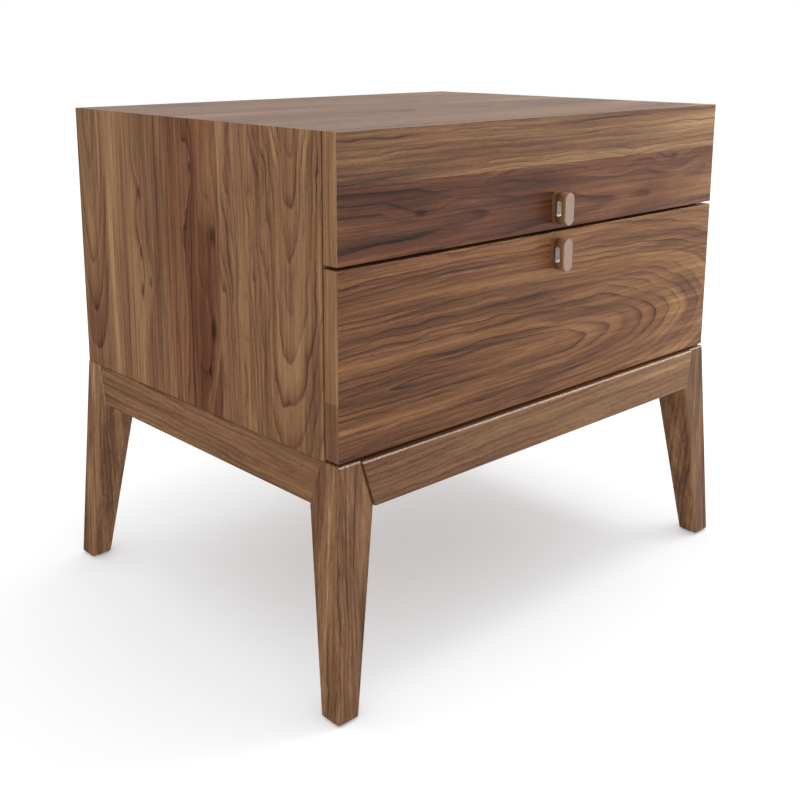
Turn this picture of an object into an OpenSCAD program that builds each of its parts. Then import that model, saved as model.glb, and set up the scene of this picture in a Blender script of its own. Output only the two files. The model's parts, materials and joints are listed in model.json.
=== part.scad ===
// Two-drawer nightstand. A mitred case stands on a splayed-leg base. Two overlay drawer fronts
// carry dovetailed boxes that run on side-mounted, full-extension ball-bearing slides.
// +Z is up, -Y is the front, the floor is z = 0, and the origin is under the middle of the piece.

/* [Case] */
// Width over the side panels and the drawer fronts
case_w = 600; // [540:5:680]
// Depth from the face of the drawer fronts to the back of the case
case_d = 461; // [455:1:520]
// Height of the top surface above the floor
total_h = 550; // [540:1:590]
// Thickness of the case boards
board_t = 18; // [17:0.5:20]
// Thickness of the back panel
back_t = 6; // [5:0.5:8]
// Depth of the rabbet that the back panel sits in
rabbet = 9; // [7:0.5:10]
// Depth of the rail between the drawers
rail_d = 60; // [40:1:80]

/* [Drawer fronts] */
// Thickness of the drawer fronts
front_t = 18; // [16:0.5:20]
// Shadow gap between the fronts and the case edges
front_gap = 2; // [2:0.1:3]
// Height of the upper drawer front
upper_front_h = 117; // [112:1:122]
// Gap between the two drawer fronts
front_reveal = 3.5; // [2.5:0.5:4]
// Gap between the lower front and the base
front_lift = 3; // [2.5:0.5:4]

/* [Base] */
// Height of the base, from the floor to the underside of the case
base_h = 249; // [240:1:255]
// How far the feet reach out past the case
foot_out = 16; // [10:1:24]
// How far the tops of the legs stand out past the case sides
leg_proud_x = 1; // [0.5:0.5:2]
// How far the tops of the legs stand out past the fronts and the back
leg_proud_y = 2; // [0.5:0.5:3]
// Width of a leg at its top
leg_top_w = 27; // [26:1:30]
// Width of a leg at the lower edge of the aprons
leg_knee_w = 43; // [38:1:46]
// Width of a foot
foot_w = 26; // [22:1:30]
// Radius on the long edges of the legs and on the upper edges of the base
edge_r = 3; // [2:0.5:3.5]
// Chamfer around the bottom of a foot
foot_chamfer = 2; // [1:0.5:3]
// Height of the aprons
apron_h = 45; // [42:1:48]
// Gap between the aprons and the case above them
apron_gap = 1; // [0.5:0.5:2]
// How far the front apron stands out past the legs
front_apron_out = 2; // [1:0.5:2.5]
// How far the other aprons sit behind the faces of the legs
apron_in = 2.5; // [1.5:0.5:3]
// Distance from the tops of the legs' faces to the inner faces of the aprons
apron_inset = 22; // [20:0.5:24]

/* [Pulls] */
// Width of a pull
pull_w = 14; // [12:1:18]
// Height of a pull
pull_h = 34; // [30:1:38]
// How far a pull stands out from its front
pull_d = 18; // [16:1:22]
// Width of the slot through a pull, front to back
pull_slot_d = 7; // [6:0.5:8]
// Height of the slot through a pull
pull_slot_h = 17; // [14:0.5:18]
// Distance from the middle of the gap between the fronts to the middle of each pull
pull_offset = 24.2; // [22:0.1:30]

/* [Drawer boxes] */
// Thickness of the boards of a drawer box
box_t = 12; // [12:0.5:13]
// Depth of a drawer box, front to back
box_d = 405; // [403:1:408]
// Height of the upper drawer box
upper_box_h = 80; // [76:1:82]
// Height of the lower drawer box
lower_box_h = 142; // [132:1:144]
// Thickness of the drawer bottoms
bottom_t = 6; // [5:0.5:6.5]
// Width of a dovetail pin at the end of a board
pin_w = 5; // [4:0.5:7]
// Slope of the dovetails, as run over rise
pin_slope = 7; // [6:1:8]

/* [Slides] */
// Length of each slide member
slide_l = 400; // [380:5:400]
// Height of the outer member of a slide
slide_h = 45; // [44:0.5:46]
// Thickness of a whole slide
slide_t = 12.7; // [12.7:0.1:13]
// Thickness of the slide's steel
steel_t = 1.2; // [1:0.1:1.3]
// Diameter of the balls
ball_d = 3.9; // [3.8:0.05:3.95]

/* [Hidden] */
$fn = 48;

walnut = "#7a5a42";
walnut_dark = "#6b4c38";
maple = "#dcc39a";
plywood = "#c9a877";
steel = "#b9bcc0";
zinc = "#a8a9a6";
nylon = "#2b2b2b";

over = 1;          // how far a cutter runs past the face it cuts
fit = 0.05;        // radial clearance of glued dowels and wood screws

// The front and the back of the piece, as planes across Y. The pulls reach furthest forward
// and the rear feet furthest back, and the origin is midway between them.
front_y = -(case_d + foot_out - pull_d) / 2;
front_back_y = front_y + front_t;
case_front_y = front_back_y + front_gap;
case_back_y = front_y + case_d;
case_mid_y = (front_y + case_back_y) / 2;

side_x = case_w / 2;
inner_x = side_x - board_t;
floor_z = base_h + board_t;              // upper face of the bottom panel
ceiling_z = total_h - board_t;           // lower face of the top panel

upper_front_z = total_h - upper_front_h;
lower_front_top_z = upper_front_z - front_reveal;
lower_front_z = base_h + front_lift;
reveal_z = upper_front_z - front_reveal / 2;
rail_h = board_t;

// The drawer boxes: the upper one runs over the rail, and the lower one over the bottom panel
box_x = inner_x - slide_t;
rail_clear = 3.75;
bottom_clear = 6;
upper_box_z = reveal_z + rail_h / 2 + rail_clear;
lower_box_z = floor_z + bottom_clear;
bottom_lift = 8;                         // from the lower edge of a box to its bottom panel
bottom_groove = 5;                       // how far the bottom panel enters each board

// The slides, measured inward from the case side: web, flanges and races
slide_setback = 3;
slide_front_y = case_front_y + slide_setback;
outer_flange = 11.5;
middle_from = 2.6;
middle_to = 11.2;
inner_from = 5.5;
ball_play = 0.075;                       // clearance on each side of a ball
race_gap = ball_d + 2 * ball_play;
middle_h = slide_h - 2 * steel_t - 2 * race_gap;
inner_h = middle_h - 2 * steel_t - 2 * race_gap;
cage_from = 5.2;
cage_to = 8.8;
cage_l = 120;
cage_t = 1;
cage_front_y = -100;
balls_per_row = 6;
ball_s = 7;
upper_slide_z = upper_box_z + 38;
lower_slide_z = lower_box_z + 52;
slide_screw_places = [35, 200, 365];

// The base, in a corner of its own: u runs out along X and v out along Y from the middle
knee_z = base_h - apron_gap - apron_h;
glide_r = 9;
glide_h = 4;
glide_proud = 1.5;
foot_z = glide_proud + foot_chamfer;

dowel_r = 4;
dowel_l = 30;

// ---------- helpers ----------

// Extrudes an outline in X and Z along Y, from y0 to y1
module along_y(y0, y1)
    translate([0, y1, 0]) rotate([90, 0, 0]) linear_extrude(y1 - y0) children();

// Extrudes an outline in Y and Z along X, from x0 to x1
module along_x(x0, x1)
    translate([x0, 0, 0]) rotate([90, 0, 90]) linear_extrude(x1 - x0) children();

// A box between two opposite corners
module block(low, high)
    translate(low) cube(high - low);

// Stands its children, drawn along +Z, at a point along +X, -X, +Y, -Y, +Z or -Z
module pointing(from, axis)
    translate(from)
        rotate([axis == "+y" ? -90 : axis == "-y" ? 90 : axis == "-z" ? 180 : 0,
                axis == "+x" ? 90 : axis == "-x" ? -90 : 0, 0])
            children();

module rod(from, axis, length, radius)
    pointing(from, axis) cylinder(h = length, r = radius);

// The cross that a driver fits, cut into a head whose outer face is at height z
module driver_cross(z, head_r, depth) {
    slot_w = 0.3 * head_r;
    slot_l = 1.25 * head_r;
    for (turn = [0, 90])
        rotate([0, 0, turn])
            translate([-slot_l / 2, -slot_w / 2, z - over]) cube([slot_l, slot_w, depth + over]);
}

// A wood screw with a pan head: the head is at the given point, and the shank points along axis
module pan_screw(from, axis, length, radius, head_r, head_h)
    pointing(from, axis) difference() {
        union() {
            cylinder(h = length, r = radius);
            translate([0, 0, -head_h]) cylinder(h = head_h, r = head_r);
        }
        driver_cross(-head_h, head_r, 0.75 * head_h);
    }

// A countersunk screw with its head flush at the given point. A solid one cuts its own hole.
module flat_screw(from, axis, length, radius, head_r, is_solid)
    pointing(from, axis) difference() {
        union() {
            cylinder(h = head_r - radius, r1 = head_r, r2 = radius);
            cylinder(h = length, r = radius);
        }
        if (!is_solid) driver_cross(0, head_r, 0.8 * (head_r - radius));
    }

module mirrored_pair() {
    children();
    mirror([1, 0, 0]) children();
}

module on_side(side)
    mirror([side < 0 ? 1 : 0, 0, 0]) children();

// ---------- case ----------

module back_panel_shape(past = 0)
    block([-inner_x - rabbet, case_back_y - back_t, floor_z - rabbet],
          [inner_x + rabbet, case_back_y + past, ceiling_z + rabbet]);

spline_w = 10;
spline_t = 3;
spline_setback = 12;

module mitre_splines_shape()
    mirrored_pair()
        translate([side_x - board_t / 2, 0, total_h - board_t / 2]) rotate([0, 45, 0])
            block([-spline_w / 2, case_front_y + spline_setback, -spline_t / 2],
                  [spline_w / 2, case_back_y - spline_setback, spline_t / 2]);

bottom_dowel_from = 40;
bottom_dowel_pitch = 110;
bottom_dowel_ys = [for (i = [0:3]) case_front_y + bottom_dowel_from + i * bottom_dowel_pitch];
rail_dowel_ys = [case_front_y + rail_d / 4, case_front_y + 3 * rail_d / 4];

in_side = 12;                            // how far a dowel goes into the side panel

// The dowels lie along X, from the bottom panel and the rail into the side panels
module case_dowels_shape(grow = 0) {
    mirrored_pair() {
        for (y = bottom_dowel_ys)
            rod([inner_x + in_side - dowel_l, y, base_h + board_t / 2], "+x", dowel_l, dowel_r + grow);
        for (y = rail_dowel_ys)
            rod([inner_x + in_side - dowel_l, y, reveal_z], "+x", dowel_l, dowel_r + grow);
    }
}

back_screw_l = 18;
back_screw_r = 1.6;
back_screw_head_r = 3.2;
back_screw_low = 25;                     // from the bottom panel to the lowest screw
back_screw_pitch = 72;
back_screw_row = 140;

// Where the back panel is screwed on: down both sides, and along the top and the bottom
back_screw_places = concat(
    [for (side = [-1, 1], i = [0:3])
        [side * (inner_x + rabbet / 2), floor_z + back_screw_low + i * back_screw_pitch]],
    [for (i = [-1:1]) [i * back_screw_row, ceiling_z + rabbet / 2]],
    [for (i = [-1:1]) [i * back_screw_row, floor_z - rabbet / 2]]);

module back_screws_shape(grow = 0)
    for (p = back_screw_places)
        flat_screw([p[0], case_back_y, p[1]], "-y", back_screw_l, back_screw_r + grow,
                   back_screw_head_r + grow, grow > 0);

module top_panel() {
    color(walnut) difference() {
        along_y(case_front_y, case_back_y)
            polygon([[-side_x, total_h], [side_x, total_h], [inner_x, ceiling_z], [-inner_x, ceiling_z]]);
        back_panel_shape(over);
        mitre_splines_shape();
        back_screws_shape(fit);
    }
}

module side_panel(side) {
    color(walnut) difference() {
        on_side(side) along_y(case_front_y, case_back_y)
            polygon([[inner_x, base_h], [side_x, base_h], [side_x, total_h], [inner_x, ceiling_z]]);
        back_panel_shape(over);
        mitre_splines_shape();
        back_screws_shape(fit);
        case_dowels_shape(fit);
        for (z = [upper_slide_z, lower_slide_z])
            on_side(side) case_slide_screws_at(z, fit);
    }
}

module left_side_panel() side_panel(-1);

module right_side_panel() side_panel(1);

module bottom_panel() {
    color(walnut_dark) difference() {
        block([-inner_x, case_front_y, base_h], [inner_x, case_back_y, floor_z]);
        back_panel_shape(over);
        back_screws_shape(fit);
        case_dowels_shape(fit);
        base_screws_shape(fit);
    }
}

module back_panel() {
    color(plywood) difference() {
        back_panel_shape();
        back_screws_shape(fit);
    }
}

module divider_rail() {
    color(walnut_dark) difference() {
        block([-inner_x, case_front_y, reveal_z - rail_h / 2],
              [inner_x, case_front_y + rail_d, reveal_z + rail_h / 2]);
        case_dowels_shape(fit);
    }
}

module mitre_splines() color(walnut_dark) mitre_splines_shape();

module case_dowels() color(maple) case_dowels_shape();

module back_panel_screws() color(zinc) back_screws_shape();

// Thin pads on the front edges of the sides, where the corners of each drawer front close
module bumper_pads() {
    pad_r = 4;
    pad_clear = 0.3;
    pad_in = 10;
    zs = [lower_front_z + pad_in, lower_front_top_z - pad_in,
          upper_front_z + pad_in, ceiling_z - pad_in];
    color(nylon) mirrored_pair()
        for (z = zs)
            rod([side_x - board_t / 2, case_front_y, z], "-y", front_gap - pad_clear, pad_r);
}

// ---------- base ----------

// Outer faces of the legs at height z
function leg_u(z) = side_x + leg_proud_x + (foot_out - leg_proud_x) * (base_h - z) / (base_h - foot_z);
function leg_v(z) = case_d / 2 + leg_proud_y + (foot_out - leg_proud_y) * (base_h - z) / (base_h - foot_z);

// Width of a leg at height z, widening from the top to the knee and tapering to the foot
function leg_w(z) = z > knee_z ? leg_knee_w + (leg_top_w - leg_knee_w) * (z - knee_z) / (base_h - knee_z)
                               : foot_w + (leg_knee_w - foot_w) * (z - foot_z) / (knee_z - foot_z);

// A thin slice of a leg, with its upper face at height z, drawn in by the given amount
module leg_slice(z, slice, inset = 0) {
    w = leg_w(z) - 2 * inset;
    r = edge_r - inset / 2;
    translate([leg_u(z) - inset, leg_v(z) - inset, z - slice])
        for (x = [-r, r - w], y = [-r, r - w])
            translate([x, y, 0]) cylinder(h = slice, r = r, $fn = 32);
}

// Cutter that rounds an edge along X: solid beyond a quarter round whose middle is at (v, z)
module round_over_x(half_l, v, z)
    along_x(-half_l, half_l) difference() {
        translate([v, z]) square(2 * edge_r);
        translate([v, z]) circle(edge_r);
    }

// The leg at the +X, +Y corner of the base. The middle of the base is the middle of the case.
module corner_leg() {
    slice = 0.02;
    difference() {
        union() {
            hull() {
                leg_slice(glide_proud + slice, slice, foot_chamfer);
                leg_slice(foot_z, slice);
                leg_slice(knee_z, slice);
            }
            hull() {
                leg_slice(knee_z, slice);
                leg_slice(base_h, slice);
            }
        }
        round_over_x(side_x + 2 * foot_out, leg_v(base_h) - edge_r, base_h - edge_r);
        corner_dowels(fit);
        corner_glide();
    }
}

// Places its children, drawn for the +X, +Y corner, at one corner of the base
module at_corner(x_side, y_side)
    translate([0, case_mid_y, 0])
        mirror([x_side < 0 ? 1 : 0, 0, 0]) mirror([0, y_side < 0 ? 1 : 0, 0]) children();

module at_corners()
    for (x_side = [-1, 1], y_side = [-1, 1])
        at_corner(x_side, y_side) children();

module front_left_leg() color(walnut) at_corner(-1, -1) corner_leg();

module front_right_leg() color(walnut) at_corner(1, -1) corner_leg();

module rear_left_leg() color(walnut) at_corner(-1, 1) corner_leg();

module rear_right_leg() color(walnut) at_corner(1, 1) corner_leg();

apron_dowel_r = 3;
apron_dowel_l = 26;
apron_dowel_in = 14;                     // from the top of a leg's outer faces to the dowels
x_dowel_low = 10;                        // from the apron's lower edge, and from the top of the base
x_dowel_high = 16;
y_dowel_low = 18;
y_dowel_high = 8;

// Dowels at one corner: two along X into the front or rear apron, and two along Y into the side
module corner_dowels(grow = 0) {
    middle = leg_w((knee_z + base_h) / 2);
    face_u = leg_u((knee_z + base_h) / 2) - middle;
    face_v = leg_v((knee_z + base_h) / 2) - middle;
    line_u = leg_u(base_h) - apron_dowel_in;
    line_v = leg_v(base_h) - apron_dowel_in;
    for (z = [knee_z + x_dowel_low, base_h - x_dowel_high])
        rod([face_u - apron_dowel_l / 2, line_v, z], "+x", apron_dowel_l, apron_dowel_r + grow);
    for (z = [knee_z + y_dowel_low, base_h - y_dowel_high])
        rod([line_u, face_v - apron_dowel_l / 2, z], "+y", apron_dowel_l, apron_dowel_r + grow);
}

module apron_dowels() color(maple) at_corners() corner_dowels();

module corner_glide()
    rod([leg_u(foot_z) - foot_w / 2, leg_v(foot_z) - foot_w / 2, 0], "+z", glide_h, glide_r);

module foot_glides() color(nylon) at_corners() corner_glide();

apron_top_z = base_h - apron_gap;
apron_bottom_z = knee_z;

// Section of an apron across its length, outward to the right: its face follows the splay of the
// legs, and its upper edge is rounded. top_face is where the face would meet the top, and lean is
// how far it moves out by the bottom.
module apron_section(top_face, lean, back_face) {
    slope = lean / (apron_top_z - apron_bottom_z);
    difference() {
        polygon([[back_face, apron_bottom_z], [top_face + lean, apron_bottom_z],
                 [top_face, apron_top_z], [back_face, apron_top_z]]);
        translate([top_face + slope * edge_r - edge_r, apron_top_z - edge_r]) difference() {
            square(2 * edge_r);
            circle(edge_r);
        }
    }
}

// Outline of an apron along its length: its ends follow the joint faces of the legs
module apron_outline(leg_face_low, leg_face_high)
    polygon([[-leg_face_low, apron_bottom_z], [leg_face_low, apron_bottom_z],
             [leg_face_high, apron_top_z], [-leg_face_high, apron_top_z]]);

function joint_u(z) = leg_u(z) - leg_w(z);
function joint_v(z) = leg_v(z) - leg_w(z);

// The apron on the +Y side of the base, with its face moved out from the legs' faces
module apron_across_y(out) {
    face = leg_v(apron_top_z) + out;
    intersection() {
        along_x(-side_x, side_x)
            apron_section(face, leg_v(apron_bottom_z) - leg_v(apron_top_z), leg_v(base_h) - apron_inset);
        along_y(0, case_d)
            apron_outline(joint_u(apron_bottom_z), joint_u(apron_top_z));
    }
}

// The apron on the +X side of the base
module apron_across_x(out) {
    face = leg_u(apron_top_z) + out;
    intersection() {
        along_y(-case_d, case_d)
            apron_section(face, leg_u(apron_bottom_z) - leg_u(apron_top_z), leg_u(base_h) - apron_inset);
        along_x(0, case_w)
            apron_outline(joint_v(apron_bottom_z), joint_v(apron_top_z));
    }
}

module front_apron()
    color(walnut) difference() {
        at_corner(1, -1) apron_across_y(front_apron_out);
        apron_dowel_holes();
    }

module rear_apron()
    color(walnut) difference() {
        at_corner(1, 1) apron_across_y(-apron_in);
        apron_dowel_holes();
    }

module side_apron(side)
    color(walnut) difference() {
        at_corner(side, 1) apron_across_x(-apron_in);
        apron_dowel_holes();
    }

module apron_dowel_holes() at_corners() corner_dowels(fit);

module left_apron() side_apron(-1);

module right_apron() side_apron(1);

block_h = 22;
block_w = 26;
block_reach = 58;

// A brace across one corner of the base, glued to two aprons and screwed up into the case
module corner_block_shape() {
    u = leg_u(base_h) - apron_inset;
    v = leg_v(base_h) - apron_inset;
    translate([0, 0, base_h - block_h]) linear_extrude(block_h)
        polygon([[u, v - block_reach], [u - block_reach, v],
                 [u - block_reach - block_w, v], [u, v - block_reach - block_w]]);
}

base_screw_l = 34;
base_screw_r = 2.5;
base_screw_head_r = 5;
base_screw_head_h = 3;

// The screw up through the middle of one corner block
module corner_screw(grow = 0) {
    reach = (block_reach + block_w / 2) / 2;
    u = leg_u(base_h) - apron_inset - reach;
    v = leg_v(base_h) - apron_inset - reach;
    pan_screw([u, v, base_h - block_h], "+z", base_screw_l, base_screw_r + grow,
              base_screw_head_r, base_screw_head_h);
}

module base_screws_shape(grow = 0) at_corners() corner_screw(grow);

module corner_blocks()
    color(maple) difference() {
        at_corners() corner_block_shape();
        base_screws_shape(fit);
    }

module base_screws() color(zinc) base_screws_shape();

// ---------- slides ----------

// Outline of a channel in X and Z on the +X side. s runs inward from the case side, and the web
// is at the case when web_outside is true and at the drawer when it is false.
module channel_outline(s0, s1, high, z, web_outside) {
    cut_from = web_outside ? inner_x - s1 - over : inner_x - s1 + steel_t;
    cut_to = web_outside ? inner_x - s0 - steel_t : inner_x - s0 + over;
    difference() {
        translate([inner_x - s1, z - high / 2]) square([s1 - s0, high]);
        translate([cut_from, z - high / 2 + steel_t]) square([cut_to - cut_from, high - 2 * steel_t]);
    }
}

slide_screw_r = 1.75;
slide_screw_head_r = 3.4;
slide_screw_head_h = 1.1;
case_slide_screw_l = 14;
box_slide_screw_l = 10;
slide_hole_r = 2.2;

// The screws that hold one outer member, on the +X side
module case_slide_screws_at(z, grow = 0)
    for (place = slide_screw_places)
        pan_screw([inner_x - steel_t, slide_front_y + place, z], "+x", case_slide_screw_l,
                  slide_screw_r + grow, slide_screw_head_r, slide_screw_head_h);

// The screws that hold one inner member to its drawer box, on the +X side
module box_slide_screws_at(z, grow = 0)
    for (place = slide_screw_places)
        pan_screw([box_x + steel_t, slide_front_y + place, z], "-x", box_slide_screw_l,
                  slide_screw_r + grow, slide_screw_head_r, slide_screw_head_h);

module slide_web_holes(x, z)
    for (place = slide_screw_places)
        rod([x - 2 * steel_t, slide_front_y + place, z], "+x", 4 * steel_t, slide_hole_r);

lip_h = 2;

module slide_outer(side, z)
    color(steel) on_side(side) difference() {
        along_y(slide_front_y, slide_front_y + slide_l) {
            channel_outline(0, outer_flange, slide_h, z, true);
            for (low = [z - slide_h / 2 + steel_t / 2, z + slide_h / 2 - steel_t / 2 - lip_h])
                translate([inner_x - outer_flange, low]) square([steel_t, lip_h]);
        }
        slide_web_holes(inner_x, z);
    }

module slide_middle(side, z)
    color(steel) on_side(side)
        along_y(slide_front_y, slide_front_y + slide_l)
            channel_outline(middle_from, middle_to, middle_h, z, true);

module slide_inner(side, z)
    color(steel) on_side(side) difference() {
        along_y(slide_front_y, slide_front_y + slide_l)
            channel_outline(inner_from, slide_t, inner_h, z, false);
        slide_web_holes(box_x, z);
    }

// One row of balls in a steel strip, midway between two races at the given height
module ball_row(z) {
    color(steel) block([inner_x - cage_to, cage_front_y, z - cage_t / 2],
                       [inner_x - cage_from, cage_front_y + cage_l, z + cage_t / 2]);
    pitch = cage_l / balls_per_row;
    color(zinc) for (i = [0:balls_per_row - 1])
        translate([inner_x - ball_s, cage_front_y + (i + 0.5) * pitch, z]) sphere(d = ball_d);
}

// The rows between the outer and middle members, or between the middle and inner members
module ball_cages(z, wide, narrow) {
    race = (wide + narrow) / 4;
    mirrored_pair() {
        ball_row(z + race);
        ball_row(z - race);
    }
}

module upper_left_slide_outer() slide_outer(-1, upper_slide_z);

module upper_right_slide_outer() slide_outer(1, upper_slide_z);

module lower_left_slide_outer() slide_outer(-1, lower_slide_z);

module lower_right_slide_outer() slide_outer(1, lower_slide_z);

module case_slide_screws()
    color(zinc) mirrored_pair()
        for (z = [upper_slide_z, lower_slide_z])
            case_slide_screws_at(z);

module upper_left_slide_middle() slide_middle(-1, upper_slide_z);

module upper_right_slide_middle() slide_middle(1, upper_slide_z);

module lower_left_slide_middle() slide_middle(-1, lower_slide_z);

module lower_right_slide_middle() slide_middle(1, lower_slide_z);

outer_race = slide_h - 2 * steel_t;
middle_race = middle_h - 2 * steel_t;

module upper_outer_ball_cages() ball_cages(upper_slide_z, outer_race, middle_h);

module upper_inner_ball_cages() ball_cages(upper_slide_z, middle_race, inner_h);

module lower_outer_ball_cages() ball_cages(lower_slide_z, outer_race, middle_h);

module lower_inner_ball_cages() ball_cages(lower_slide_z, middle_race, inner_h);

module upper_left_slide_inner() slide_inner(-1, upper_slide_z);

module upper_right_slide_inner() slide_inner(1, upper_slide_z);

module lower_left_slide_inner() slide_inner(-1, lower_slide_z);

module lower_right_slide_inner() slide_inner(1, lower_slide_z);

module upper_slide_screws() color(zinc) mirrored_pair() box_slide_screws_at(upper_slide_z);

module lower_slide_screws() color(zinc) mirrored_pair() box_slide_screws_at(lower_slide_z);

// ---------- drawers ----------

box_front_y = front_back_y;
box_back_y = box_front_y + box_d;

// The dovetail pins at one end of a box in Y and Z: narrow at end_y and wide at end_y + run
module pin_outlines(z, h, pins, end_y, run) {
    flare = abs(run) / pin_slope;
    pitch = h / pins;
    intersection() {
        translate([min(end_y, end_y + run), z]) square([abs(run), h]);
        for (i = [0:pins])
            translate([end_y, z + i * pitch])
                polygon([[0, -pin_w / 2], [0, pin_w / 2],
                         [run, pin_w / 2 + flare], [run, -pin_w / 2 - flare]]);
    }
}

module front_pins(z, h, pins)
    along_x(box_x - box_t, box_x) pin_outlines(z, h, pins, box_front_y, box_t);

module back_pins(z, h, pins)
    along_x(box_x - box_t, box_x) pin_outlines(z, h, pins, box_back_y, -box_t);

module box_bottom_shape(z)
    block([-box_x + box_t - bottom_groove, box_front_y + box_t - bottom_groove, z + bottom_lift],
          [box_x - box_t + bottom_groove, box_back_y - box_t + bottom_groove,
           z + bottom_lift + bottom_t]);

front_screw_r = 2;
front_screw_l = 24;
front_screw_head_r = 4;
front_screw_head_h = 2.4;
front_screw_x = 200;
front_screw_low = 24;                    // from the edges of a box to its screws
front_screw_high = 16;

// Screws through the front of a box into its drawer front, near the corners of the box
module front_screws_shape(z, h, grow = 0)
    mirrored_pair()
        for (place = [front_screw_low, h - front_screw_high])
            pan_screw([front_screw_x, box_front_y + box_t, z + place], "-y", front_screw_l,
                      front_screw_r + grow, front_screw_head_r, front_screw_head_h);

module box_side(side, z, h, pins, slide_z)
    color(maple) difference() {
        on_side(side) difference() {
            block([box_x - box_t, box_front_y, z], [box_x, box_back_y, z + h]);
            front_pins(z, h, pins);
            back_pins(z, h, pins);
            box_slide_screws_at(slide_z, fit);
        }
        box_bottom_shape(z);
    }

module box_front(z, h, pins)
    color(maple) difference() {
        union() {
            block([-box_x + box_t, box_front_y, z], [box_x - box_t, box_front_y + box_t, z + h]);
            mirrored_pair() front_pins(z, h, pins);
        }
        box_bottom_shape(z);
        front_screws_shape(z, h, fit);
    }

module box_back(z, h, pins)
    color(maple) difference() {
        union() {
            block([-box_x + box_t, box_back_y - box_t, z], [box_x - box_t, box_back_y, z + h]);
            mirrored_pair() back_pins(z, h, pins);
        }
        box_bottom_shape(z);
    }

module box_bottom(z) color(plywood) box_bottom_shape(z);

pull_screw_r = 2;
pull_screw_head_r = 4;
pull_screw_l = front_t + 10;
pull_screw_place = (pull_slot_h + pull_h) / 4;

// The two screws that hold a pull, with their heads flush in the back of the drawer front
module pull_screws_shape(z, grow = 0)
    for (place = [-pull_screw_place, pull_screw_place])
        flat_screw([0, front_back_y, z + place], "-y", pull_screw_l, pull_screw_r + grow,
                   pull_screw_head_r + grow, grow > 0);

// An upright outline with round ends, centred on the origin
module stadium(w, h) {
    square([w, h - w], center = true);
    for (end = [-1, 1])
        translate([0, end * (h - w) / 2]) circle(d = w);
}

module pull(z)
    color(walnut) difference() {
        along_y(front_y - pull_d, front_y) translate([0, z]) stadium(pull_w, pull_h);
        along_x(-pull_w, pull_w) translate([front_y - pull_d / 2, z]) stadium(pull_slot_d, pull_slot_h);
        pull_screws_shape(z, fit);
    }

module drawer_front(z, h, box_z, box_h, pull_z)
    color(walnut) difference() {
        block([-side_x, front_y, z], [side_x, front_back_y, z + h]);
        pull_screws_shape(pull_z, fit);
        front_screws_shape(box_z, box_h, fit);
    }

upper_pull_z = reveal_z + pull_offset;
lower_pull_z = reveal_z - pull_offset;
upper_pins = 3;
lower_pins = 5;

module upper_drawer_front()
    drawer_front(upper_front_z, upper_front_h, upper_box_z, upper_box_h, upper_pull_z);

module upper_box_front() box_front(upper_box_z, upper_box_h, upper_pins);

module upper_box_left() box_side(-1, upper_box_z, upper_box_h, upper_pins, upper_slide_z);

module upper_box_right() box_side(1, upper_box_z, upper_box_h, upper_pins, upper_slide_z);

module upper_box_back() box_back(upper_box_z, upper_box_h, upper_pins);

module upper_box_bottom() box_bottom(upper_box_z);

module upper_pull() pull(upper_pull_z);

module upper_pull_screws() color(zinc) pull_screws_shape(upper_pull_z);

module upper_front_screws() color(zinc) front_screws_shape(upper_box_z, upper_box_h);

module lower_drawer_front()
    drawer_front(lower_front_z, lower_front_top_z - lower_front_z, lower_box_z, lower_box_h, lower_pull_z);

module lower_box_front() box_front(lower_box_z, lower_box_h, lower_pins);

module lower_box_left() box_side(-1, lower_box_z, lower_box_h, lower_pins, lower_slide_z);

module lower_box_right() box_side(1, lower_box_z, lower_box_h, lower_pins, lower_slide_z);

module lower_box_back() box_back(lower_box_z, lower_box_h, lower_pins);

module lower_box_bottom() box_bottom(lower_box_z);

module lower_pull() pull(lower_pull_z);

module lower_pull_screws() color(zinc) pull_screws_shape(lower_pull_z);

module lower_front_screws() color(zinc) front_screws_shape(lower_box_z, lower_box_h);

// ---------- the nodes ----------

top_panel();
left_side_panel();
right_side_panel();
bottom_panel();
back_panel();
divider_rail();
mitre_splines();
case_dowels();
back_panel_screws();
bumper_pads();
front_left_leg();
front_right_leg();
rear_left_leg();
rear_right_leg();
front_apron();
rear_apron();
left_apron();
right_apron();
corner_blocks();
apron_dowels();
base_screws();
foot_glides();
upper_left_slide_outer();
upper_right_slide_outer();
lower_left_slide_outer();
lower_right_slide_outer();
case_slide_screws();
upper_left_slide_middle();
upper_right_slide_middle();
lower_left_slide_middle();
lower_right_slide_middle();
upper_outer_ball_cages();
upper_inner_ball_cages();
lower_outer_ball_cages();
lower_inner_ball_cages();
upper_drawer_front();
upper_box_front();
upper_box_left();
upper_box_right();
upper_box_back();
upper_box_bottom();
upper_pull();
upper_pull_screws();
upper_front_screws();
upper_left_slide_inner();
upper_right_slide_inner();
upper_slide_screws();
lower_drawer_front();
lower_box_front();
lower_box_left();
lower_box_right();
lower_box_back();
lower_box_bottom();
lower_pull();
lower_pull_screws();
lower_front_screws();
lower_left_slide_inner();
lower_right_slide_inner();
lower_slide_screws();
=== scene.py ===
"""The looks of the two-drawer walnut nightstand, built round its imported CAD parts."""

import json
import math
from collections import namedtuple

import bpy
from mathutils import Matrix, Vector


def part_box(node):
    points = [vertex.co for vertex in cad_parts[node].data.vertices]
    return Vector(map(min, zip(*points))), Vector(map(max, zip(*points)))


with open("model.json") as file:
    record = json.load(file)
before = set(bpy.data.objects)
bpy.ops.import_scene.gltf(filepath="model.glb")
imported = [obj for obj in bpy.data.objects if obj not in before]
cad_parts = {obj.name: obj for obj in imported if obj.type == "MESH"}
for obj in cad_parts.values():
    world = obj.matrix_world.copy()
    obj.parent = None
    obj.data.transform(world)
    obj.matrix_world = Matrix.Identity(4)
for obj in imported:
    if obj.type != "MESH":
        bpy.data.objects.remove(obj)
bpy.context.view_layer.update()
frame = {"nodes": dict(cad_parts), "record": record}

MM = 0.001
SLOTS = {row["node"]: row["material_slot"] for row in frame["record"]["subparts"]}

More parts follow.
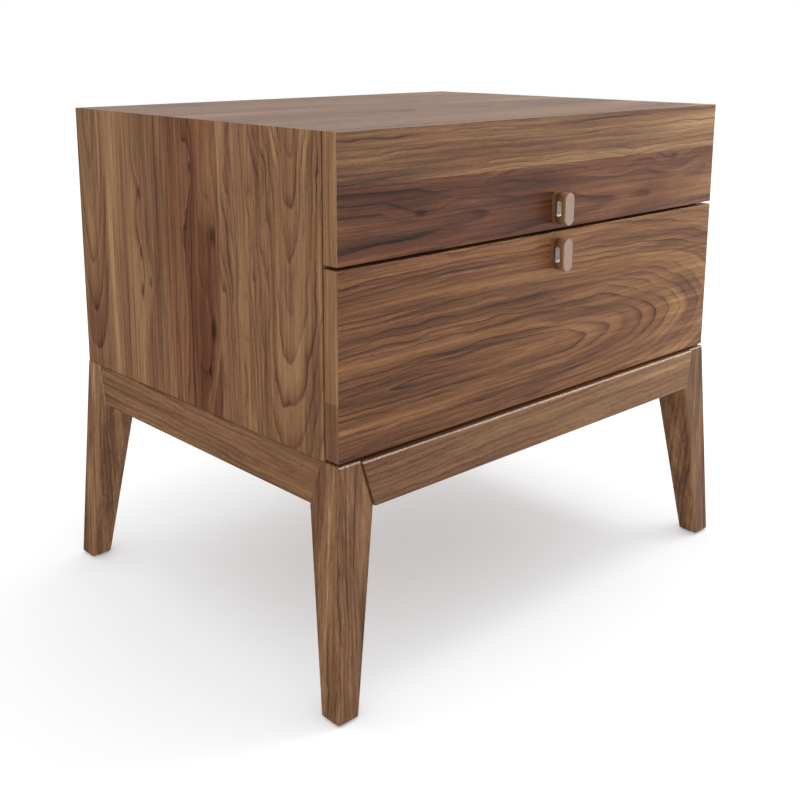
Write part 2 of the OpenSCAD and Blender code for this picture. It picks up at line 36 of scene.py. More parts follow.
# ---------- arithmetic over a surface ----------


class Field:
    """A number that varies over a surface. Arithmetic on it adds nodes to its node tree."""

    def __init__(self, tree, socket):
        self.tree = tree
        self.socket = socket

    def math(self, operation, *others):
        node = self.tree.nodes.new("ShaderNodeMath")
        node.operation = operation
        for slot, value in zip(node.inputs, (self, *others)):
            join(self.tree, value, slot)
        return Field(self.tree, node.outputs[0])

    def __add__(self, other):
        return self.math("ADD", other)

    def __sub__(self, other):
        return self.math("SUBTRACT", other)

    def __mul__(self, other):
        return self.math("MULTIPLY", other)

    def __truediv__(self, other):
        return self.math("DIVIDE", other)

    def __pow__(self, other):
        return self.math("POWER", other)

    def smooth(self, low, high, to_low=0.0, to_high=1.0):
        """Eases from to_low, where this is at or below low, to to_high, at or above high."""
        node = self.tree.nodes.new("ShaderNodeMapRange")
        node.interpolation_type = "SMOOTHSTEP"
        for slot, value in zip(node.inputs, (self, low, high, to_low, to_high)):
            join(self.tree, value, slot)
        return Field(self.tree, node.outputs[0])


def join(tree, value, slot):
    """Feeds a socket with a Field, an output or a plain number."""
    if isinstance(value, Field):
        tree.links.new(value.socket, slot)
    elif isinstance(value, bpy.types.NodeSocket):
        tree.links.new(value, slot)
    else:
        slot.default_value = value


def split(tree, place):
    """The three parts of a vector, each as a Field."""
    node = tree.nodes.new("ShaderNodeSeparateXYZ")
    tree.links.new(place, node.inputs[0])
    return [Field(tree, output) for output in node.outputs]


def vector(tree, x, y, z):
    node = tree.nodes.new("ShaderNodeCombineXYZ")
    for slot, value in zip(node.inputs, (x, y, z)):
        join(tree, value, slot)
    return node.outputs[0]


def noise(tree, place, detail=2.0, rough=0.5):
    """Smooth noise of one cycle a unit, from about -1 to 1."""
    node = tree.nodes.new("ShaderNodeTexNoise")
    node.noise_dimensions = "3D"
    join(tree, place, node.inputs["Vector"])
    node.inputs["Scale"].default_value = 1.0
    node.inputs["Detail"].default_value = detail
    node.inputs["Roughness"].default_value = rough
    return Field(tree, node.outputs["Fac"]) * 2.0 - 1.0


def random_of(tree, value):
    """A fixed random number from 0 to 1 for each whole number."""
    node = tree.nodes.new("ShaderNodeTexWhiteNoise")
    node.noise_dimensions = "1D"
    join(tree, value, node.inputs["W"])
    return Field(tree, node.outputs["Value"])


def ramp(tree, value, stops):
    """A colour for each value from 0 to 1, blended between stops of (place, colour)."""
    node = tree.nodes.new("ShaderNodeValToRGB")
    elements = node.color_ramp.elements
    while len(elements) < len(stops):
        elements.new(1.0)
    for element, (place, colour) in zip(elements, stops):
        element.position = place
        element.color = (*colour, 1.0)
    join(tree, value, node.inputs[0])
    return node.outputs[0]


def mix_colours(tree, share, first, second, blend="MIX"):
    node = tree.nodes.new("ShaderNodeMix")
    # Its colour sockets share their names with others, so they are taken by number
    node.data_type = "RGBA"
    node.blend_type = blend
    join(tree, share, node.inputs[0])
    join(tree, first, node.inputs[6])
    join(tree, second, node.inputs[7])
    return node.outputs[2]


def start_material(name):
    """A new material, with its node tree and its Principled shader."""
    material = bpy.data.materials.new(name)
    material.use_nodes = True
    shader = material.node_tree.nodes["Principled BSDF"]
    return material, material.node_tree, shader


def bump(tree, shader, height, distance):
    node = tree.nodes.new("ShaderNodeBump")
    node.inputs["Distance"].default_value = distance
    join(tree, height, node.inputs["Height"])
    tree.links.new(node.outputs[0], shader.inputs["Normal"])


def linear(colour):
    """Linear colour of a display colour written as #rrggbb."""
    parts = [int(colour[start:start + 2], 16) / 255 for start in (1, 3, 5)]
    return tuple(
        part / 12.92 if part <= 0.04045 else ((part + 0.055) / 1.055) ** 2.4 for part in parts
    )


# ---------- wood ----------

# One board in a glued-up panel. share: its part of the panel's width. heart: where the middle of
# the tree lies, across from the board's middle, in mm. depth: how far below the face it lies.
# tilt: how fast it sinks along the grain, which opens the rings into arches. ring: mm from ring
# to ring. tone: lighter or darker. red: redder. wave: how much the rings wander. line: how dark
# the end of each ring is. peak: where depth holds, as a share of the length. bow: how much faster
# the middle of the tree sinks away from the peak. drift: how much lighter the board gets along it.
Board = namedtuple(
    "Board",
    "share heart depth tilt ring tone red wave line peak bow drift",
    defaults=(0.0, 40.0, 0.0, 5.0, 0.0, 0.0, 1.0, 1.0, 0.5, 0.0, 0.0),
)

# A knot: its place along and across the panel as shares of its size, its radius in mm, and how
# far it pushes the rings aside, in mm.
Knot = namedtuple("Knot", "along across radius push", defaults=(5.0, 12.0))


def palette(*stops):
    """Stops for a ramp, from pairs of a place and a display colour."""
    return [(place, linear(colour)) for place, colour in stops]


WALNUT = palette(
    (0.0, "#20120c"), (0.3, "#4a2f1e"), (0.55, "#724d33"), (0.78, "#956f4b"), (1.0, "#ba9265")
)
WALNUT_FRONT = palette(
    (0.0, "#20120c"), (0.3, "#4b2d1a"), (0.55, "#774c2e"), (0.78, "#9c6f44"), (1.0, "#c2965f")
)
MAPLE = palette((0.0, "#b08a5c"), (0.4, "#d9b98c"), (0.7, "#e6cda4"), (1.0, "#f0dcb8"))
PULL_FACE = palette((0.0, "#876a5a"), (0.5, "#a88e80"), (1.0, "#bda89b"))
# Pale colour painted over the inside of the pulls' slots: painted light and a painted highlight
SLOT_PAINTED_LIGHT = palette((0.0, "#b9b3ad"), (1.0, "#e4e0da"))
WALNUT_RED = (*linear("#8a4c38"), 1.0)
MIDDLE_TONE = 0.55

WALNUT_ROUGHNESS = 0.34
MAPLE_ROUGHNESS = 0.38
WOOD_SPECULAR = 0.42
WOOD_BUMP = 0.05 * MM

# Marks of the wood: their length along the grain and their width across it, in mm
SLOW_WANDER = (190.0, 48.0)
QUICK_WANDER = (55.0, 18.0)
LATE_PATCHES = (120.0, 22.0)
STREAKS = (420.0, 9.0)
STRANDS = (200.0, 2.6)
FIBRES = (22.0, 0.8)
PITS = (6.0, 0.6)

# How far the slow and the quick wander push the rings across the board, and the slow one in depth
SLOW_PUSH = 9.0
QUICK_PUSH = 3.0
DEPTH_PUSH = 5.0

KNOT_STRETCH = 2.6                       # a knot's length along the grain over its width
KNOT_REACH = 4.5                         # how far a knot bends the rings, in radii
KNOT_DARKNESS = 0.3
BOARD_SEED_STEP = 7.3                    # sets the noise of neighbouring boards apart


class Grain:
    """Places on a node along its grain, across it and in from its face, in mm."""

    def __init__(self, tree, node, along, across, depth, seed=0.0):
        low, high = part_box(node)
        place = tree.nodes.new("ShaderNodeTexCoord").outputs["Object"]
        parts = split(tree, place)
        self.tree = tree
        self.seed = seed
        self.size = {}
        self.fields = {}
        for role, axis in (("along", along), ("across", across), ("depth", depth)):
            index = "xyz".index(axis[-1])
            if axis[0] == "-":
                field = (parts[index] * -1.0 + high[index]) / MM
            else:
                field = (parts[index] - low[index]) / MM
            self.fields[role] = field
            self.size[role] = (high[index] - low[index]) / MM

    def noise(self, mark, detail=2.0, rough=0.5, shift=0.0):
        """Noise whose features have a mark's length and width."""
        length, width = mark
        along = self.fields["along"] / length + (self.seed + shift)
        across = self.fields["across"] / width
        depth = self.fields["depth"] / width
        return noise(self.tree, vector(self.tree, along, across, depth), detail, rough)

    def board_noise(self, mark, board_seed):
        """Noise with a mark's length and width that goes its own way on each board."""
        length, width = mark
        along = self.fields["along"] / length + self.seed
        across = self.fields["across"] / width
        return noise(self.tree, vector(self.tree, along, across, board_seed))


def by_board(grain, boards):
    """A function that gives each board's own value as one field across the panel."""
    edges = []
    reach = 0.0
    for board in boards[:-1]:
        reach += board.share * grain.size["across"]
        edges.append(grain.fields["across"].math("GREATER_THAN", reach))

    def pick(values):
        result = values[0]
        for edge, before, after in zip(edges, values, values[1:]):
            if after != before:
                result = edge.math("MULTIPLY_ADD", after - before, result)
        return result

    return pick


def lay_rings(grain, boards, knots, pick, board_seed):
    """The number of year rings out from each board's heart, and the darkness of the knots."""
    along = grain.fields["along"]
    starts = [sum(board.share for board in boards[:number]) for number in range(len(boards))]
    hearts = [
        (start + board.share / 2) * grain.size["across"] + board.heart
        for start, board in zip(starts, boards)
    ]
    slow = grain.board_noise(SLOW_WANDER, board_seed)
    quick = grain.board_noise(QUICK_WANDER, board_seed)
    wander = (slow * SLOW_PUSH + quick * QUICK_PUSH) * pick([board.wave for board in boards])
    across = grain.fields["across"] - pick(hearts) + wander
    dark = 0.0
    for knot in knots:
        off_along = (along - knot.along * grain.size["along"]) / KNOT_STRETCH
        off_across = grain.fields["across"] - knot.across * grain.size["across"]
        near = (off_along * off_along + off_across * off_across).math("SQRT")
        own_board = pick([
            float(start <= knot.across < start + board.share)
            for start, board in zip(starts, boards)
        ])
        push = near.smooth(0.0, KNOT_REACH * knot.radius, knot.push, 0.0)
        across = across + push * own_board
        core = near.smooth(0.1 * knot.radius, 0.9 * knot.radius, KNOT_DARKNESS, 0.0)
        dark = core * own_board + dark

    away = along - pick([board.peak * grain.size["along"] for board in boards])
    sink = away * pick([board.tilt for board in boards])
    below = sink + grain.fields["depth"] + pick([board.depth for board in boards])
    below = below + away * away * pick([board.bow / 1000 for board in boards])
    below = below + slow * DEPTH_PUSH
    distance = (across * across + below * below).math("SQRT")
    return distance / pick([board.ring for board in boards]), dark


def wood(grain, boards, stops, knots=(), streak=0.16, fibre=0.14, pores=0.12, butt=None):
    """Colour, height and gloss of glued-up boards.

    streak, fibre and pores say how strongly those marks show. butt is a place along the grain in
    mm, where one strip ends and the next begins, and the change of tone before it.
    """
    tree = grain.tree
    along = grain.fields["along"]
    pick = by_board(grain, boards)
    board_seed = pick([BOARD_SEED_STEP * number for number in range(len(boards))])
    rings, dark = lay_rings(grain, boards, knots, pick, board_seed)

    # Late wood darkens each ring towards its end, more on some rings and in some patches
    turn = rings.math("FRACT")
    patches = grain.noise(LATE_PATCHES, 1.0, 0.5, 5.0).smooth(-0.45, 0.35, 0.35, 1.0)
    strength = random_of(tree, rings.math("FLOOR") + board_seed) * 0.75 + 0.25
    late = ((turn ** 2.0) * 0.35 + (turn ** 7.0) * 0.65) * strength
    ring_end = turn.smooth(0.92, 1.0, 1.0, 0.2)
    late = late * ring_end * patches * pick([board.line for board in boards])

    band = noise(tree, vector(tree, rings * 0.27, along / 420.0, board_seed), 3.0, 0.6)
    streaks = grain.noise(STREAKS, 2.0, 0.6, 17.0)
    strands = grain.noise(STRANDS, 3.0, 0.7, 11.0)
    fine = grain.noise(FIBRES, 2.0, 0.75, 23.0)
    pits = grain.noise(PITS, 0.0, 0.5, 37.0).smooth(0.2, 0.6)

    place = along / grain.size["along"] - 0.5
    tone = pick([MIDDLE_TONE + board.tone for board in boards])
    # Drift makes a board lighter along it; on the drawer fronts and the front apron this is painted
    # reflection, lighter towards their right ends
    tone = place * pick([board.drift for board in boards]) + tone
    bands = band * (2.2 * streak) + streaks * (1.3 * streak) + strands * (1.4 * streak)
    tone = bands + fine * fibre + tone
    tone = tone - late * 0.5 - pits * pores - dark
    if butt:
        butt_place, butt_tone = butt
        tone = tone + along.smooth(butt_place - 0.3, butt_place + 0.3, butt_tone, 0.0)

    colour = ramp(tree, tone, stops)
    reds = [board.red for board in boards]
    if any(reds):
        share = band.smooth(-0.6, 0.5, 1.0, 0.5) * pick(reds)
        colour = mix_colours(tree, share, colour, WALNUT_RED, "SOFT_LIGHT")
    height = fine * 0.35 - pits - late * 0.3
    gloss = fine * 0.05 + pits * 0.16 + late * 0.06
    return colour, height, gloss


def finish_wood(tree, shader, colour, height, gloss, roughness=WALNUT_ROUGHNESS):
    join(tree, colour, shader.inputs["Base Color"])
    join(tree, gloss + roughness, shader.inputs["Roughness"])
    shader.inputs["Specular IOR Level"].default_value = WOOD_SPECULAR
    bump(tree, shader, height, WOOD_BUMP)


def walnut(node, along, across, depth, boards, knots=(), seed=0.0, **looks):
    """Walnut boards. The axes say which way the grain runs, and which way is in from the face."""
    material, tree, shader = start_material("walnut_" + node)
    grain = Grain(tree, node, along, across, depth, seed)
    finish_wood(tree, shader, *wood(grain, boards, WALNUT, knots, **looks))
    return material


def banded_front(node, boards, band, knots=(), seed=0.0, butt=None, stops=WALNUT_FRONT, **looks):
    """A drawer front whose ends are covered with upright strips."""
    material, tree, shader = start_material("walnut_" + node)
    grain = Grain(tree, node, "x", "z", "y", seed)
    colour, height, gloss = wood(grain, boards, stops, knots, **looks)
    strip = Grain(tree, node, "z", "y", "x", seed + 5.0)
    strip_colour = wood(strip, band, WALNUT, butt=butt)[0]
    half_width = grain.size["along"] / 2
    off_centre = (grain.fields["along"] - half_width).math("ABSOLUTE")
    is_end = off_centre.math("GREATER_THAN", half_width - 0.6)
    colour = mix_colours(tree, is_end, colour, strip_colour)
    finish_wood(tree, shader, colour, height, gloss)
    return material


def pull_walnut(node):
    """A layered pull with a pale front face, and painted light with a painted highlight, in pale
    colour, over the inside of its slot.
    """
    material, tree, shader = start_material("walnut_" + node)
    grain = Grain(tree, node, "z", "x", "y", 2.0)
    boards = [Board(1.0, heart=4, depth=60, ring=3.0, tone=0.06)]
    colour, height, gloss = wood(grain, boards, WALNUT, streak=0.26)
    specks = grain.noise((7.0, 0.9), 2.0, 0.7, 3.0) * 0.5 + 0.5
    is_face = grain.fields["depth"].smooth(0.4, 0.8, 0.9, 0.0)
    colour = mix_colours(tree, is_face, colour, ramp(tree, specks, PULL_FACE))
    # The inside of the slot is painted pale: painted light and a painted highlight on its inner
    # walls
    in_slot = 1.0
    for role, reach in (("along", 8.0), ("across", 5.2), ("depth", 3.8)):
        off_centre = (grain.fields[role] - grain.size[role] / 2).math("ABSOLUTE")
        in_slot = off_centre.math("LESS_THAN", reach) * in_slot
    colour = mix_colours(tree, in_slot, colour, ramp(tree, specks, SLOT_PAINTED_LIGHT))
    finish_wood(tree, shader, colour, height, gloss)
    return material


def maple(node, along, across, depth, seed=0.0):
    material, tree, shader = start_material("maple_" + node)
    grain = Grain(tree, node, along, across, depth, seed)
    boards = [Board(1.0, heart=12.0, depth=35.0, tilt=0.04, ring=4.5, line=0.7)]
    parts = wood(grain, boards, MAPLE, streak=0.13, fibre=0.08, pores=0.05)
    finish_wood(tree, shader, *parts, MAPLE_ROUGHNESS)
    return material


# ---------- metal, nylon and rubber ----------


def speckled(name, colour, marks, darkest, roughness, spread, bump_depth, metallic=0.0):
    """A material with fine marks.

    marks says how many there are to a metre along each axis, darkest what share of the colour is
    left in the darkest mark, and spread how much the roughness varies.
    """
    material, tree, shader = start_material(name)
    place = tree.nodes.new("ShaderNodeTexCoord").outputs["Object"]
    stretch = tree.nodes.new("ShaderNodeMapping")
    stretch.inputs["Scale"].default_value = marks
    tree.links.new(place, stretch.inputs[0])
    grit = noise(tree, stretch.outputs[0], 3.0, 0.6)
    shades = [(0.0, tuple(darkest * part for part in colour)), (1.0, colour)]
    join(tree, ramp(tree, grit * 0.5 + 0.5, shades), shader.inputs["Base Color"])
    join(tree, grit * spread + roughness, shader.inputs["Roughness"])
    shader.inputs["Metallic"].default_value = metallic
    bump(tree, shader, grit, bump_depth)
    return material


def metal(name, colour, roughness):
    """Metal with the fine lines that rolling leaves along Y."""
    return speckled(name, colour, (900, 60, 900), 0.8, roughness, 0.06, 0.01 * MM, metallic=0.45)


def plastic(name, colour, roughness):
    return speckled(name, colour, (1500, 1500, 1500), 0.7, roughness, 0.08, 0.02 * MM)


# ---------- rounded edges ----------

# Radius of the rounded edges in mm, by material slot
EDGE_RADIUS = {
    "walnut_case": 0.5,
    "walnut_front": 0.6,
    "walnut_base": 0.5,
    "maple": 0.4,
    "plywood": 0.3,
    "slide_steel": 0.2,
    "zinc": 0.2,
    "nylon": 0.8,
    "rubber": 0.5,
}
PULL_EDGE_RADIUS = 0.4
BASE_TOP_RADIUS = 1.8
WIDE_ABOVE = "Wide above"
ELSEWHERE = "Elsewhere"


def geometry_group(name):
    """A geometry node group that takes and gives one mesh, and its first and last nodes."""
    group = bpy.data.node_groups.new(name, "GeometryNodeTree")
    group.interface.new_socket("Mesh", in_out="INPUT", socket_type="NodeSocketGeometry")
    group.interface.new_socket("Mesh", in_out="OUTPUT", socket_type="NodeSocketGeometry")
    start = group.nodes.new("NodeGroupInput")
    end = group.nodes.new("NodeGroupOutput")
    return group, start, end


def add_number(group, name, value):
    """Adds a number to what a group takes in."""
    socket = group.interface.new_socket(name, in_out="INPUT", socket_type="NodeSocketFloat")
    socket.default_value = value


def compare(group, value, operation, limit):
    node = group.nodes.new("FunctionNodeCompare")
    node.operation = operation
    group.links.new(value, node.inputs[0])
    join(group, limit, node.inputs[1])
    return node.outputs[0]


def make_corner_picker():
    """Gives a bevel weight to outer edges that turn by about a right angle, not to a mitre's.

    The weight is 1 above the height "Wide above", and "Elsewhere" below it.
    """
    group, start, end = geometry_group("corner_picker")
    add_number(group, WIDE_ABOVE, -1.0)
    add_number(group, ELSEWHERE, 1.0)

    angle = group.nodes.new("GeometryNodeInputMeshEdgeAngle").outputs["Signed Angle"]
    both = group.nodes.new("FunctionNodeBooleanMath")
    group.links.new(compare(group, angle, "GREATER_THAN", math.radians(50)), both.inputs[0])
    group.links.new(compare(group, angle, "LESS_THAN", math.radians(120)), both.inputs[1])

    position = group.nodes.new("GeometryNodeInputPosition").outputs[0]
    height = split(group, position)[2]
    width = group.nodes.new("GeometryNodeSwitch")
    width.input_type = "FLOAT"
    is_top = compare(group, height.socket, "GREATER_THAN", start.outputs[WIDE_ABOVE])
    group.links.new(is_top, width.inputs["Switch"])
    group.links.new(start.outputs[ELSEWHERE], width.inputs["False"])
    width.inputs["True"].default_value = 1.0

    store = group.nodes.new("GeometryNodeStoreNamedAttribute")
    store.data_type = "FLOAT"
    store.domain = "EDGE"
    store.inputs["Name"].default_value = "bevel_weight_edge"
    weight = Field(group, both.outputs[0]) * Field(group, width.outputs[0])
    join(group, weight, store.inputs["Value"])
    group.links.new(start.outputs[0], store.inputs["Geometry"])
    group.links.new(store.outputs[0], end.inputs[0])
    return group


def make_smoother():
    """Shades the mesh smooth, except across its edges that are still sharp."""
    group, start, end = geometry_group("smoother")
    angle = group.nodes.new("GeometryNodeInputMeshEdgeAngle").outputs["Unsigned Angle"]
    normal = group.nodes.new("GeometryNodeSetMeshNormal")
    normal.inputs["Remove Custom"].default_value = True
    is_sharp = compare(group, angle, "GREATER_THAN", math.radians(24))
    group.links.new(is_sharp, normal.inputs["Edge Sharpness"])
    group.links.new(start.outputs[0], normal.inputs["Mesh"])
    group.links.new(normal.outputs[0], end.inputs[0])
    return group


CORNER_PICKER = make_corner_picker()
SMOOTHER = make_smoother()


def weld(part):
    part.modifiers.new("weld", "WELD").merge_threshold = 0.002 * MM


def smooth(part):
    part.modifiers.new("smooth", "NODES").node_group = SMOOTHER


def soften(node, radius, segments=3, top_radius=None):
    """Rounds the outer edges of a CAD node, and its top edges more if top_radius is given."""
    part = frame["nodes"][node]
    weld(part)
    flatten = part.modifiers.new("flatten", "DECIMATE")
    flatten.decimate_type = "DISSOLVE"
    flatten.angle_limit = math.radians(0.2)
    pick = part.modifiers.new("pick_corners", "NODES")
    pick.node_group = CORNER_PICKER
    if top_radius:
        sockets = {item.name: item.identifier for item in CORNER_PICKER.interface.items_tree}
        pick[sockets[WIDE_ABOVE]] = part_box(node)[1][2] - 0.5 * MM
        pick[sockets[ELSEWHERE]] = radius / top_radius
        radius = top_radius
        segments = 5
    bevel = part.modifiers.new("round_corners", "BEVEL")
    bevel.limit_method = "WEIGHT"
    bevel.width = radius * MM
    bevel.segments = segments
    weld(part)
    smooth(part)
    level = part.modifiers.new("level_faces", "WEIGHTED_NORMAL")
    level.weight = 100
    level.keep_sharp = True


def dress(node, material):
    """Gives a CAD node its material and rounds its edges."""
    part = frame["nodes"][node]
    for slot in part.material_slots:
        slot.material = material
    if "ball_cages" in node:
        weld(part)
        smooth(part)
    elif node.endswith("pull"):
        soften(node, PULL_EDGE_RADIUS)
    elif SLOTS[node] == "walnut_base":
        soften(node, EDGE_RADIUS["walnut_base"], top_radius=BASE_TOP_RADIUS)
    else:
        soften(node, EDGE_RADIUS[SLOTS[node]])


# ---------- the boards of each piece ----------

# The left side, from its front edge to its back edge
SIDE = [
    Board(0.362, heart=-35, depth=30, tilt=-0.14, ring=6.5, tone=0.14, wave=2.5, line=1.15),
    Board(0.215, heart=-40, depth=22, tilt=0.02, ring=6.5, tone=0.12, red=0.5, wave=1.5, line=1.15),
    Board(0.163, heart=60, depth=30, ring=6.0, tone=0.15, wave=0.9),
    Board(0.125, heart=90, depth=30, ring=6.0, tone=0.17, wave=0.6, line=0.7),
    Board(0.135, heart=4, depth=26, tilt=-0.14, ring=7.5, tone=0.16, wave=0.8),
]
SIDE_KNOTS = [
    Knot(0.72, 0.70),
    Knot(0.5, 0.70),
    Knot(0.36, 0.70, 6),
    Knot(0.84, 0.47, 4),
    Knot(0.62, 0.385, 7, 20),
    Knot(0.3, 0.39, 8, 22),
    Knot(0.15, 0.41, 4, 10),
    Knot(0.4, 0.66, 4),
]
TOP = [
    Board(0.2, heart=60, tilt=0.02, ring=6, tone=0.12),
    Board(0.27, heart=0, depth=50, tilt=0.05, ring=6, tone=0.08),
    Board(0.23, heart=-40, ring=5, tone=0.11),
    Board(0.3, heart=20, depth=60, tilt=-0.04, ring=7, tone=0.06),
]

# Strips on the ends of the drawer fronts, of which the lower one is joined near its foot
BAND = [Board(1.0, heart=60, ring=2.5, tone=0.12, wave=0.5)]
FOOT_STRIP = (55, -0.12)

# The drawer fronts, from their lower edge to their upper edge. Their drift paints them lighter
# towards their right ends, a painted reflection of the bright light on the right.
UPPER = [
    Board(0.581, heart=-10, depth=45, tilt=0.02, ring=6, tone=0.045, red=0.65, wave=1.5, line=1.2,
          drift=0.15),
    Board(0.419, heart=70, depth=40, tilt=0.02, ring=5.5, tone=0.13, wave=1.4, line=1.2,
          drift=0.32),
]
UPPER_KNOTS = [Knot(0.17, 0.32), Knot(0.86, 0.53, 5)]
LOWER = [
    Board(1.0, heart=-30, depth=9, tilt=0.1, ring=6, tone=0.06, wave=1.2, line=1.2, peak=0.5,
          bow=0.35, drift=0.16),
]

LEG_TONES = {"front_left": 0.075, "front_right": 0.08, "rear_left": 0.13, "rear_right": 0.10}

# The grain's axis and the axis in from the face of each apron, and its drift. The front apron's
# drift paints it lighter towards its right end, a painted reflection of the bright light on the
# right.
APRONS = {
    "front": ("x", "y", 0.16),
    "rear": ("x", "-y", 0.0),
    "left": ("y", "x", 0.0),
    "right": ("y", "-x", 0.0),
}

# The grain's axis and the axis in from the face of each side of a drawer box
BOX_SIDES = {"front": ("x", "-y"), "back": ("x", "y"), "left": ("y", "x"), "right": ("y", "-x")}


def dress_case():
    left = walnut("left_side_panel", "z", "y", "x", SIDE, SIDE_KNOTS, 1.0, streak=0.18, fibre=0.19)
    dress("left_side_panel", left)
    dress("right_side_panel", walnut("right_side_panel", "z", "y", "-x", SIDE[::-1], seed=2.7))
    dress("top_panel", walnut("top_panel", "x", "y", "-z", TOP, seed=3.1))
    dress("bottom_panel", walnut("bottom_panel", "x", "y", "z", TOP[::-1], seed=4.2))
    dress("divider_rail", walnut("divider_rail", "x", "y", "z", TOP[:1], seed=4.9))
    dress("mitre_splines", walnut("mitre_splines", "y", "x", "z", [Board(1.0)], seed=5.9))
    dress("back_panel", maple("back_panel", "z", "x", "y", seed=14.0))
    for node in ("case_dowels", "apron_dowels", "corner_blocks"):
        dress(node, maple(node, "x", "y", "z", seed=15.0))


def dress_base():
    for number, (side, tone) in enumerate(LEG_TONES.items()):
        node = side + "_leg"
        boards = [Board(1.0, heart=50, depth=30, tilt=0.02, ring=4.5, tone=tone)]
        seed = 6.0 + 1.7 * number
        dress(node, walnut(node, "z", "x", "y", boards, seed=seed, streak=0.22, fibre=0.2))
    for number, (side, (along, depth, drift)) in enumerate(APRONS.items()):
        node = side + "_apron"
        boards = [
            Board(1.0, heart=60, depth=30, tilt=0.05, ring=5, tone=0.12, line=0.9, drift=drift)
        ]
        looks = {"seed": 12.0 + 2.3 * number, "streak": 0.12, "fibre": 0.2, "pores": 0.2}
        dress(node, walnut(node, along, "z", depth, boards, **looks))


def dress_fronts():
    upper = banded_front("upper_drawer_front", UPPER, BAND, UPPER_KNOTS, seed=1.4, stops=WALNUT,
                         streak=0.19, fibre=0.18)
    dress("upper_drawer_front", upper)
    lower = banded_front("lower_drawer_front", LOWER, BAND, seed=8.6, butt=FOOT_STRIP,
                         streak=0.2, fibre=0.18)
    dress("lower_drawer_front", lower)
    for drawer in ("upper", "lower"):
        dress(f"{drawer}_pull", pull_walnut(f"{drawer}_pull"))


def dress_boxes():
    for drawer in ("upper", "lower"):
        for number, (side, (along, depth)) in enumerate(BOX_SIDES.items()):
            node = f"{drawer}_box_{side}"
            dress(node, maple(node, along, "z", depth, seed=3.0 * number))
        node = f"{drawer}_box_bottom"
        dress(node, maple(node, "y", "x", "-z", seed=9.0))


def dress_hardware():
    """Dresses the slides, screws, glides and pads, which share one material to a slot."""
    materials = {
        "slide_steel": metal("rolled_steel", (0.72, 0.74, 0.77), 0.3),
        "zinc": metal("zinc_plate", (0.66, 0.66, 0.63), 0.35),
        "nylon": plastic("nylon", (0.03, 0.03, 0.03), 0.5),
        "rubber": plastic("rubber", (0.08, 0.075, 0.07), 0.65),
    }
    for node, slot in SLOTS.items():
        if slot in materials:
            dress(node, materials[slot])


dress_case()
dress_base()
dress_fronts()
dress_boxes()
dress_hardware()

# ---------- studio ----------

CAMERA_PLACE = (-0.9032, -0.9426, 0.6272)
CAMERA_DOWN = 11.96                      # degrees below level
CAMERA_TURN = -42.57                     # degrees from +Y
CAMERA_LENS = 49.52                      # mm
CAMERA_SHIFT = (0.024, -0.16)

# A soft bright patch that reflections see: its direction, the radii in degrees inside which it
# is full and outside which it is gone, and its strength.
Glow = namedtuple("Glow", "toward inner outer strength")
GLOWS = [
    Glow((0.9, -0.42, -0.1), 8, 36, 0.4),
    Glow((0.66, -0.25, 0.72), 8, 32, 10.0),
    Glow((-0.75, -0.62, 0.24), 5, 24, 5.0),
]

SOFTBOX_PLACE = (1.0, -0.4, 2.3)
SOFTBOX_AIM = (0, 0, 0.3)
SOFTBOX_SIZE = 0.7
SOFTBOX_WATTS = 9

FLOOR_REACH = 8.0
FLOOR_COLOUR = (0.9, 0.91, 0.92, 1)
FLOOR_GLOW_COLOUR = (0.97, 1.0, 1.03, 1)
FLOOR_GLOW = 0.23


def add_to_scene(name, data):
    thing = bpy.data.objects.new(name, data)
    bpy.context.scene.collection.objects.link(thing)
    return thing


def place_camera():
    camera = add_to_scene("camera", bpy.data.cameras.new("camera"))
    camera.location = CAMERA_PLACE
    camera.rotation_euler = (math.radians(90 - CAMERA_DOWN), 0, math.radians(CAMERA_TURN))
    camera.data.lens = CAMERA_LENS
    camera.data.shift_x, camera.data.shift_y = CAMERA_SHIFT
    bpy.context.scene.camera = camera


def glow_round(direction, glow):
    """The strength of one glow in each direction."""
    right, back, up = direction
    x, y, z = Vector(glow.toward).normalized()
    near = right * x + back * y + up * z
    inner = math.cos(math.radians(glow.inner))
    outer = math.cos(math.radians(glow.outer))
    return near.smooth(outer, inner, 0.0, glow.strength)


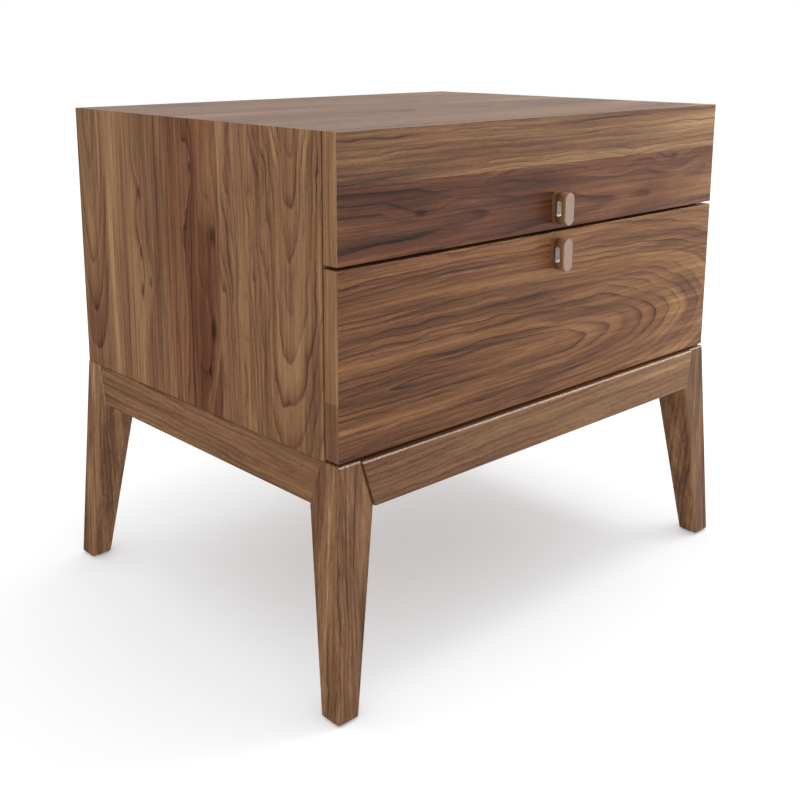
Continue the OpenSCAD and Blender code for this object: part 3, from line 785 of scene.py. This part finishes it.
def light_studio():
    """Even white light all round. Reflections see it dimmer, and with soft bright patches."""
    world = bpy.data.worlds.new("studio")
    bpy.context.scene.world = world
    world.use_nodes = True
    tree = world.node_tree
    background = tree.nodes["Background"]
    background.inputs["Color"].default_value = (1, 1, 1, 1)
    direction = split(tree, tree.nodes.new("ShaderNodeTexCoord").outputs["Generated"])
    right, _, up = direction
    reflected = right.smooth(-0.3, 0.5, 0.12, 0.5) * up.smooth(-0.25, -0.05, 0.3, 1.0)
    for glow in GLOWS:
        reflected = reflected + glow_round(direction, glow)
    path = tree.nodes.new("ShaderNodeLightPath")
    is_glossy = Field(tree, path.outputs["Is Glossy Ray"])
    is_camera = Field(tree, path.outputs["Is Camera Ray"])
    others = is_glossy * (reflected - 1.0) + 1.0
    join(tree, is_camera.math("MAXIMUM", others), background.inputs["Strength"])


def hang_softbox():
    light = bpy.data.lights.new("overhead_softbox", "AREA")
    light.shape = "RECTANGLE"
    light.size = SOFTBOX_SIZE
    light.size_y = SOFTBOX_SIZE
    light.energy = SOFTBOX_WATTS
    box = add_to_scene("overhead_softbox", light)
    box.location = SOFTBOX_PLACE
    facing = Vector(SOFTBOX_PLACE) - Vector(SOFTBOX_AIM)
    box.rotation_euler = facing.to_track_quat("Z", "Y").to_euler()


def lay_floor():
    """A plain pale floor, which reflections don't see."""
    mesh = bpy.data.meshes.new("floor")
    corners = [
        (-FLOOR_REACH, -FLOOR_REACH, 0),
        (FLOOR_REACH, -FLOOR_REACH, 0),
        (FLOOR_REACH, FLOOR_REACH, 0),
        (-FLOOR_REACH, FLOOR_REACH, 0),
    ]
    mesh.from_pydata(corners, [], [(0, 1, 2, 3)])
    material, _, shader = start_material("floor")
    shader.inputs["Base Color"].default_value = FLOOR_COLOUR
    shader.inputs["Roughness"].default_value = 0.6
    shader.inputs["Specular IOR Level"].default_value = 0.0
    shader.inputs["Emission Color"].default_value = FLOOR_GLOW_COLOUR
    shader.inputs["Emission Strength"].default_value = FLOOR_GLOW
    mesh.materials.append(material)
    floor = add_to_scene("floor", mesh)
    floor.visible_glossy = False


place_camera()
light_studio()
hang_softbox()
lay_floor()
bpy.context.scene.view_settings.view_transform = "Standard"
